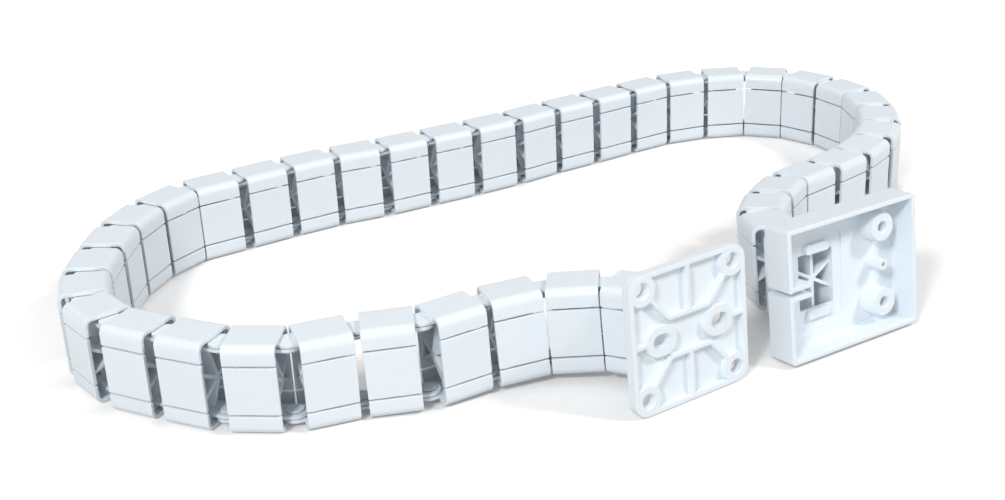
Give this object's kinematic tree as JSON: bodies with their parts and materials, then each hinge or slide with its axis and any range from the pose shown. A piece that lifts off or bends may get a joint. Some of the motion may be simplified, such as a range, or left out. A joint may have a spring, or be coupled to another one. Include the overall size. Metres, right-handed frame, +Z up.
{
  "type": "cable spine",
  "caption": "White plastic cable spine: a chain of hinged four-channel links from a ribbed foot plate to an open desk bracket, laid on its side in a loop.",
  "frame": {"origin": "middle of the lay's bounding box on the floor, z = 0 where the links rest", "axes": "+X along the lay's longest side, to the right in the picture; +Y away from the camera; +Z up, along the hinge pins"},
  "size_m": [0.5017, 0.4309, 0.0725],
  "materials": {
    "white_plastic": "satin moulded"
  },
  "bodies": {
    "foot_plate": {"foot_plate": "white_plastic"},
    "link_01": {"link_01": "white_plastic"},
    "link_02": {"link_02": "white_plastic"},
    "link_03": {"link_03": "white_plastic"},
    "link_04": {"link_04": "white_plastic"},
    "link_05": {"link_05": "white_plastic"},
    "link_06": {"link_06": "white_plastic"},
    "link_07": {"link_07": "white_plastic"},
    "link_08": {"link_08": "white_plastic"},
    "link_09": {"link_09": "white_plastic"},
    "link_10": {"link_10": "white_plastic"},
    "link_11": {"link_11": "white_plastic"},
    "link_12": {"link_12": "white_plastic"},
    "link_13": {"link_13": "white_plastic"},
    "link_14": {"link_14": "white_plastic"},
    "link_15": {"link_15": "white_plastic"},
    "link_16": {"link_16": "white_plastic"},
    "link_17": {"link_17": "white_plastic"},
    "link_18": {"link_18": "white_plastic"},
    "link_19": {"link_19": "white_plastic"},
    "link_20": {"link_20": "white_plastic"},
    "link_21": {"link_21": "white_plastic"},
    "link_22": {"link_22": "white_plastic"},
    "link_23": {"link_23": "white_plastic"},
    "link_24": {"link_24": "white_plastic"},
    "link_25": {"link_25": "white_plastic"},
    "link_26": {"link_26": "white_plastic"},
    "link_27": {"link_27": "white_plastic"},
    "link_28": {"link_28": "white_plastic"},
    "link_29": {"link_29": "white_plastic"},
    "link_30": {"link_30": "white_plastic"},
    "link_31": {"link_31": "white_plastic"},
    "link_32": {"link_32": "white_plastic"},
    "link_33": {"link_33": "white_plastic"},
    "link_34": {"link_34": "white_plastic"},
    "link_35": {"link_35": "white_plastic"},
    "link_36": {"link_36": "white_plastic"},
    "link_37": {"link_37": "white_plastic"},
    "link_38": {"link_38": "white_plastic"},
    "link_39": {"link_39": "white_plastic"},
    "link_40": {"link_40": "white_plastic"},
    "desk_bracket": {"desk_bracket": "white_plastic"}
  },
  "joints": [
    {"name": "hinge_00", "type": "hinge", "parent": "link_01", "child": "foot_plate", "pos_m": [0.06334, -0.17982, 0.03112], "axis": [0.0445, -0.0657, -0.9968], "range_deg": [-51.1, 0.9]},
    {"name": "hinge_01", "type": "hinge", "parent": "link_02", "child": "link_01", "pos_m": [0.03568, -0.1629, 0.02888], "axis": [-0.0597, 0.0341, 0.9976], "range_deg": [-0.9, 51.1]},
    {"name": "hinge_02", "type": "hinge", "parent": "link_03", "child": "link_02", "pos_m": [0.00345, -0.15931, 0.02683], "axis": [0.0597, -0.0341, -0.9976], "range_deg": [-49.8, 2.2]},
    {"name": "hinge_03", "type": "hinge", "parent": "link_04", "child": "link_03", "pos_m": [-0.02752, -0.16906, 0.02531], "axis": [-0.0597, 0.0341, 0.9976], "range_deg": [-11.7, 34.3]},
    {"name": "hinge_04", "type": "hinge", "parent": "link_05", "child": "link_04", "pos_m": [-0.05602, -0.18466, 0.02453], "axis": [0.0331, -0.0109, -0.9994], "range_deg": [-3.4, 48.6]},
    {"name": "hinge_05", "type": "hinge", "parent": "link_06", "child": "link_05", "pos_m": [-0.08832, -0.18814, 0.0235], "axis": [-0.0331, 0.0109, 0.9994], "range_deg": [-10.5, 35.5]},
    {"name": "hinge_06", "type": "hinge", "parent": "link_07", "child": "link_06", "pos_m": [-0.11911, -0.19853, 0.0235], "axis": [0, 0, -1], "range_deg": [-0.9, 51.1]},
    {"name": "hinge_07", "type": "hinge", "parent": "link_08", "child": "link_07", "pos_m": [-0.15141, -0.1949, 0.0235], "axis": [0, 0, 1], "range_deg": [-44.8, 7.2]},
    {"name": "hinge_08", "type": "hinge", "parent": "link_09", "child": "link_08", "pos_m": [-0.18081, -0.18106, 0.0235], "axis": [0, 0, -1], "range_deg": [-23.5, 28.5]},
    {"name": "hinge_09", "type": "hinge", "parent": "link_10", "child": "link_09", "pos_m": [-0.20958, -0.16594, 0.0235], "axis": [0, 0, 1], "range_deg": [-49.8, 2.2]},
    {"name": "hinge_10", "type": "hinge", "parent": "link_11", "child": "link_10", "pos_m": [-0.22981, -0.1405, 0.0235], "axis": [0, 0, -1], "range_deg": [-0.9, 51.1]},
    {"name": "hinge_11", "type": "hinge", "parent": "link_12", "child": "link_11", "pos_m": [-0.23736, -0.10889, 0.0235], "axis": [0, 0, 1], "range_deg": [-39.8, 12.2]},
    {"name": "hinge_12", "type": "hinge", "parent": "link_13", "child": "link_12", "pos_m": [-0.23715, -0.07639, 0.0235], "axis": [0, 0, -1], "range_deg": [-9, 29.8]},
    {"name": "hinge_13", "type": "hinge", "parent": "link_14", "child": "link_13", "pos_m": [-0.23482, -0.04398, 0.0235], "axis": [0, 0, 1], "range_deg": [-39.8, 8]},
    {"name": "hinge_14", "type": "hinge", "parent": "link_15", "child": "link_14", "pos_m": [-0.22483, -0.01305, 0.0235], "axis": [0, 0, -1], "range_deg": [-6.5, 42.3]},
    {"name": "hinge_15", "type": "hinge", "parent": "link_16", "child": "link_15", "pos_m": [-0.20657, 0.01384, 0.0235], "axis": [0, 0, 1], "range_deg": [-49.8, 2.2]},
    {"name": "hinge_16", "type": "hinge", "parent": "link_17", "child": "link_16", "pos_m": [-0.17902, 0.03106, 0.0235], "axis": [0, 0, -1], "range_deg": [-3, 26]},
    {"name": "hinge_17", "type": "hinge", "parent": "link_18", "child": "link_17", "pos_m": [-0.15146, 0.04829, 0.0235], "axis": [0, 0, 1], "range_deg": [-28.5, 3]},
    {"name": "hinge_18", "type": "hinge", "parent": "link_19", "child": "link_18", "pos_m": [-0.12317, 0.0643, 0.0235], "axis": [0, 0, -1], "range_deg": [-3, 33.5]},
    {"name": "hinge_19", "type": "hinge", "parent": "link_20", "child": "link_19", "pos_m": [-0.09304, 0.07647, 0.0235], "axis": [0, 0, 1], "range_deg": [-21, 3]},
    {"name": "hinge_20", "type": "hinge", "parent": "link_21", "child": "link_20", "pos_m": [-0.06408, 0.09122, 0.0235], "axis": [0, 0, -1], "range_deg": [-3, 26]},
    {"name": "hinge_21", "type": "hinge", "parent": "link_21", "child": "link_22", "pos_m": [-0.03512, 0.10598, 0.0235], "axis": [0, 0, -1], "range_deg": [-23.5, 3]},
    {"name": "hinge_22", "type": "hinge", "parent": "link_22", "child": "link_23", "pos_m": [-0.00684, 0.12198, 0.0235], "axis": [0, 0, 1], "range_deg": [-3, 21]},
    {"name": "hinge_23", "type": "hinge", "parent": "link_23", "child": "link_24", "pos_m": [0.01994, 0.1404, 0.0235], "axis": [0, 0, -1], "range_deg": [-29.8, 3]},
    {"name": "hinge_24", "type": "hinge", "parent": "link_24", "child": "link_25", "pos_m": [0.04787, 0.15702, 0.0235], "axis": [0, 0, 1], "range_deg": [-3, 24.7]},
    {"name": "hinge_25", "type": "hinge", "parent": "link_25", "child": "link_26", "pos_m": [0.07543, 0.17425, 0.0235], "axis": [0, 0, -1], "range_deg": [-27.3, 3]},
    {"name": "hinge_26", "type": "hinge", "parent": "link_26", "child": "link_27", "pos_m": [0.10336, 0.19087, 0.0235], "axis": [0, 0, 1], "range_deg": [-3, 39.8]},
    {"name": "hinge_27", "type": "hinge", "parent": "link_27", "child": "link_28", "pos_m": [0.13444, 0.20036, 0.0235], "axis": [0, 0, -1], "range_deg": [-39.8, 3]},
    {"name": "hinge_28", "type": "hinge", "parent": "link_28", "child": "link_29", "pos_m": [0.16689, 0.20217, 0.0235], "axis": [0, 0, 1], "range_deg": [-2.2, 49.8]},
    {"name": "hinge_29", "type": "hinge", "parent": "link_29", "child": "link_30", "pos_m": [0.19731, 0.19073, 0.0235], "axis": [0, 0, -1], "range_deg": [-51.1, 0.9]},
    {"name": "hinge_30", "type": "hinge", "parent": "link_30", "child": "link_31", "pos_m": [0.22002, 0.16748, 0.0235], "axis": [0, 0, 1], "range_deg": [-9.7, 42.3]},
    {"name": "hinge_31", "type": "hinge", "parent": "link_31", "child": "link_32", "pos_m": [0.2353, 0.1388, 0.0235], "axis": [0, 0, -1], "range_deg": [-49.8, 2.2]},
    {"name": "hinge_32", "type": "hinge", "parent": "link_32", "child": "link_33", "pos_m": [0.23771, 0.10639, 0.0235], "axis": [0, 0, 1], "range_deg": [-13.5, 38.5]},
    {"name": "hinge_33", "type": "hinge", "parent": "link_33", "child": "link_34", "pos_m": [0.23302, 0.07423, 0.0235], "axis": [0, 0, -1], "range_deg": [-42.3, 9.7]},
    {"name": "hinge_34", "type": "hinge", "parent": "link_34", "child": "link_35", "pos_m": [0.2195, 0.04467, 0.0235], "axis": [0, 0, 1], "range_deg": [-13.5, 38.5]},
    {"name": "hinge_35", "type": "hinge", "parent": "link_35", "child": "link_36", "pos_m": [0.1999, 0.01875, 0.0235], "axis": [0, 0, -1], "range_deg": [-31.8, 14.2]},
    {"name": "hinge_36", "type": "hinge", "parent": "link_36", "child": "link_37", "pos_m": [0.17658, -0.00386, 0.02446], "axis": [0.0128, 0.0294, 0.9995], "range_deg": [-20.5, 25.5]},
    {"name": "hinge_37", "type": "hinge", "parent": "link_37", "child": "link_38", "pos_m": [0.15229, -0.02544, 0.02524], "axis": [0.0143, -0.052, -0.9985], "range_deg": [-3, 43]},
    {"name": "hinge_38", "type": "hinge", "parent": "link_38", "child": "link_39", "pos_m": [0.13687, -0.054, 0.02702], "axis": [-0.0314, 0.079, 0.9964], "range_deg": [-33, 13]},
    {"name": "hinge_39", "type": "hinge", "parent": "link_39", "child": "link_40", "pos_m": [0.12667, -0.0848, 0.02891], "axis": [0.0651, -0.0827, -0.9945], "range_deg": [-0.9, 51.1]},
    {"name": "hinge_40", "type": "hinge", "parent": "link_40", "child": "desk_bracket", "pos_m": [0.13046, -0.11694, 0.03183], "axis": [-0.0651, 0.0827, 0.9945], "range_deg": [-49.8, 1.5]}
  ]
}
